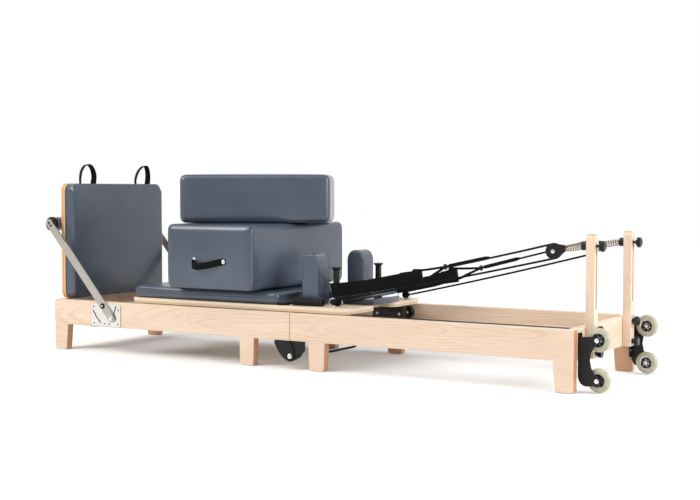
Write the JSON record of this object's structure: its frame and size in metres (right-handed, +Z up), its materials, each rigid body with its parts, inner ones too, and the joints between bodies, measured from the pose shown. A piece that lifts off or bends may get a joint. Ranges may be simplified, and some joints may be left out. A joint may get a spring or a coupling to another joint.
{
  "type": "pilates reformer",
  "caption": "Folding wooden pilates reformer with sprung padded carriage, footbar, jumpboard, rope pulleys, sitting box and transport wheels.",
  "frame": {"origin": "centre of the overall length and width, at floor height under the legs", "axes": "+X along the machine from the footbar to the pulley end, +Y across it, +Z up"},
  "size_m": [2.5546, 0.695, 0.8096],
  "materials": {
    "maple": "pale maple, clear satin lacquer",
    "plywood": "clear lacquered plywood",
    "black_steel": "satin black",
    "brushed_steel": "brushed",
    "upholstery": "slate blue-grey artificial leather over foam",
    "webbing": "black woven webbing and rope",
    "black_plastic": "matt black",
    "brass_spring": "dull yellow plated coil",
    "spring_steel": "plated coil",
    "wheel_tyre": "olive cream inline-skate tyre"
  },
  "bodies": {
    "foot_frame": {"foot_side_near": "maple", "foot_side_far": "maple", "foot_end_board": "maple", "spring_beam": "maple", "footbar_plate_near": "brushed_steel", "footbar_plate_far": "brushed_steel", "hinge_leaf_foot_near": "black_steel", "hinge_leaf_foot_far": "black_steel", "spring_1": "spring_steel", "spring_2": "spring_steel", "spring_3": "spring_steel", "spring_4": "spring_steel"},
    "footbar": {"footbar_arm_near": "brushed_steel", "footbar_arm_far": "brushed_steel", "footbar_roll": "upholstery"},
    "jumpboard": {"jumpboard_panel": "plywood", "jumpboard_pad": "upholstery", "jumpboard_loop_near": "webbing", "jumpboard_loop_far": "webbing"},
    "head_frame": {"head_side_near": "maple", "head_side_far": "maple", "head_end_board": "maple", "hinge_leaf_head_near": "black_steel", "hinge_leaf_head_far": "black_steel", "riser_near": "maple", "riser_far": "maple", "wheel_bracket_near": "black_steel", "wheel_bracket_far": "black_steel", "pulley_anchor_near": "black_plastic", "pulley_anchor_far": "black_plastic", "pulley_spring_near": "brass_spring", "pulley_spring_far": "brass_spring", "pulley_block_near": "black_plastic", "pulley_block_far": "black_plastic", "rope_near": "webbing", "rope_far": "webbing"},
    "carriage": {"carriage_plate": "plywood", "carriage_pad": "upholstery", "strap_post_near": "black_plastic", "strap_post_far": "black_plastic", "hand_strap_near": "webbing", "hand_strap_far": "webbing", "rope_hank": "webbing"},
    "headrest": {"headrest": "upholstery"},
    "sitting_box": {"sitting_box": "upholstery"},
    "box_cushion": {"box_cushion": "upholstery"},
    "shoulder_rest_near": {"shoulder_rest_near": "upholstery"},
    "pulley_sheave_near": {"pulley_sheave_near": "black_plastic"},
    "pulley_knob_near": {"pulley_knob_near": "black_plastic"},
    "wheel_low_near": {"wheel_low_near": "wheel_tyre"},
    "wheel_top_near": {"wheel_top_near": "wheel_tyre"},
    "carriage_wheel_foot_near": {"carriage_wheel_foot_near": "black_plastic"},
    "carriage_wheel_head_near": {"carriage_wheel_head_near": "black_plastic"},
    "shoulder_rest_far": {"shoulder_rest_far": "upholstery"},
    "pulley_sheave_far": {"pulley_sheave_far": "black_plastic"},
    "pulley_knob_far": {"pulley_knob_far": "black_plastic"},
    "wheel_low_far": {"wheel_low_far": "wheel_tyre"},
    "wheel_top_far": {"wheel_top_far": "wheel_tyre"},
    "carriage_wheel_foot_far": {"carriage_wheel_foot_far": "black_plastic"},
    "carriage_wheel_head_far": {"carriage_wheel_head_far": "black_plastic"}
  },
  "joints": [
    {"name": "fold", "type": "hinge", "parent": "foot_frame", "child": "head_frame", "pos_m": [0.00725, 0, 0.05], "axis": [0, 1, 0], "range_deg": [0, 180], "deforming": ["rope_near", "rope_far", "hand_strap_near", "hand_strap_far"]},
    {"name": "carriage_slide", "type": "slide", "parent": "foot_frame", "child": "carriage", "axis": [1, 0, 0], "range_m": [0, 0.76], "stiffness_N_per_m": 300, "springref_m": -0.1, "deforming": ["spring_1", "spring_2", "spring_3", "spring_4", "rope_near", "rope_far", "hand_strap_near", "hand_strap_far"]},
    {"name": "footbar_hinge", "type": "hinge", "parent": "foot_frame", "child": "footbar", "pos_m": [-0.89675, 0, 0.149], "axis": [0, -1, 0], "range_deg": [0, 40]},
    {"name": "jumpboard_lift", "type": "slide", "parent": "foot_frame", "child": "jumpboard", "axis": [0, 0, 1], "range_m": [0, 0.15]},
    {"name": "headrest_tilt", "type": "hinge", "parent": "carriage", "child": "headrest", "pos_m": [0.09725, 0, 0.2446], "axis": [0, -1, 0], "range_deg": [0, 25]},
    {"name": "sitting_box_lift", "type": "slide", "parent": "carriage", "child": "sitting_box", "axis": [0, 0, 1], "range_m": [0, 0.3]},
    {"name": "box_cushion_lift", "type": "slide", "parent": "sitting_box", "child": "box_cushion", "axis": [0, 0, 1], "range_m": [0, 0.2]},
    {"name": "shoulder_rest_lift_near", "type": "slide", "parent": "carriage", "child": "shoulder_rest_near", "axis": [0, 0, 1], "range_m": [0, 0.12]},
    {"name": "pulley_sheave_spin_near", "type": "hinge", "parent": "head_frame", "child": "pulley_sheave_near", "pos_m": [1.04225, -0.1965, 0.479], "axis": [0, 1, 0], "continuous": true},
    {"name": "pulley_knob_turn_near", "type": "hinge", "parent": "head_frame", "child": "pulley_knob_near", "pos_m": [1.21945, -0.1965, 0.5], "axis": [1, 0, 0], "continuous": true},
    {"name": "wheel_low_spin_near", "type": "hinge", "parent": "head_frame", "child": "wheel_low_near", "pos_m": [1.23525, -0.262, 0.044], "axis": [0, 1, 0], "continuous": true},
    {"name": "wheel_top_spin_near", "type": "hinge", "parent": "head_frame", "child": "wheel_top_near", "pos_m": [1.23525, -0.262, 0.183], "axis": [0, 1, 0], "continuous": true},
    {"name": "carriage_wheel_foot_spin_near", "type": "hinge", "parent": "carriage", "child": "carriage_wheel_foot_near", "pos_m": [-0.78275, -0.275, 0.182], "axis": [0, 1, 0], "continuous": true},
    {"name": "carriage_wheel_head_spin_near", "type": "hinge", "parent": "carriage", "child": "carriage_wheel_head_near", "pos_m": [0.20425, -0.275, 0.182], "axis": [0, 1, 0], "continuous": true},
    {"name": "shoulder_rest_lift_far", "type": "slide", "parent": "carriage", "child": "shoulder_rest_far", "axis": [0, 0, 1], "range_m": [0, 0.12]},
    {"name": "pulley_sheave_spin_far", "type": "hinge", "parent": "head_frame", "child": "pulley_sheave_far", "pos_m": [1.04225, 0.1965, 0.479], "axis": [0, 1, 0], "continuous": true},
    {"name": "pulley_knob_turn_far", "type": "hinge", "parent": "head_frame", "child": "pulley_knob_far", "pos_m": [1.21945, 0.1965, 0.5], "axis": [1, 0, 0], "continuous": true},
    {"name": "wheel_low_spin_far", "type": "hinge", "parent": "head_frame", "child": "wheel_low_far", "pos_m": [1.23525, 0.262, 0.044], "axis": [0, 1, 0], "continuous": true},
    {"name": "wheel_top_spin_far", "type": "hinge", "parent": "head_frame", "child": "wheel_top_far", "pos_m": [1.23525, 0.262, 0.183], "axis": [0, 1, 0], "continuous": true},
    {"name": "carriage_wheel_foot_spin_far", "type": "hinge", "parent": "carriage", "child": "carriage_wheel_foot_far", "pos_m": [-0.78275, 0.275, 0.182], "axis": [0, 1, 0], "continuous": true},
    {"name": "carriage_wheel_head_spin_far", "type": "hinge", "parent": "carriage", "child": "carriage_wheel_head_far", "pos_m": [0.20425, 0.275, 0.182], "axis": [0, 1, 0], "continuous": true}
  ],
  "couplings": [
    {"joint": "carriage_wheel_foot_spin_near", "follows": "carriage_slide", "rad_per_m": 40},
    {"joint": "carriage_wheel_head_spin_near", "follows": "carriage_slide", "rad_per_m": 40},
    {"joint": "carriage_wheel_foot_spin_far", "follows": "carriage_slide", "rad_per_m": 40},
    {"joint": "carriage_wheel_head_spin_far", "follows": "carriage_slide", "rad_per_m": 40}
  ]
}
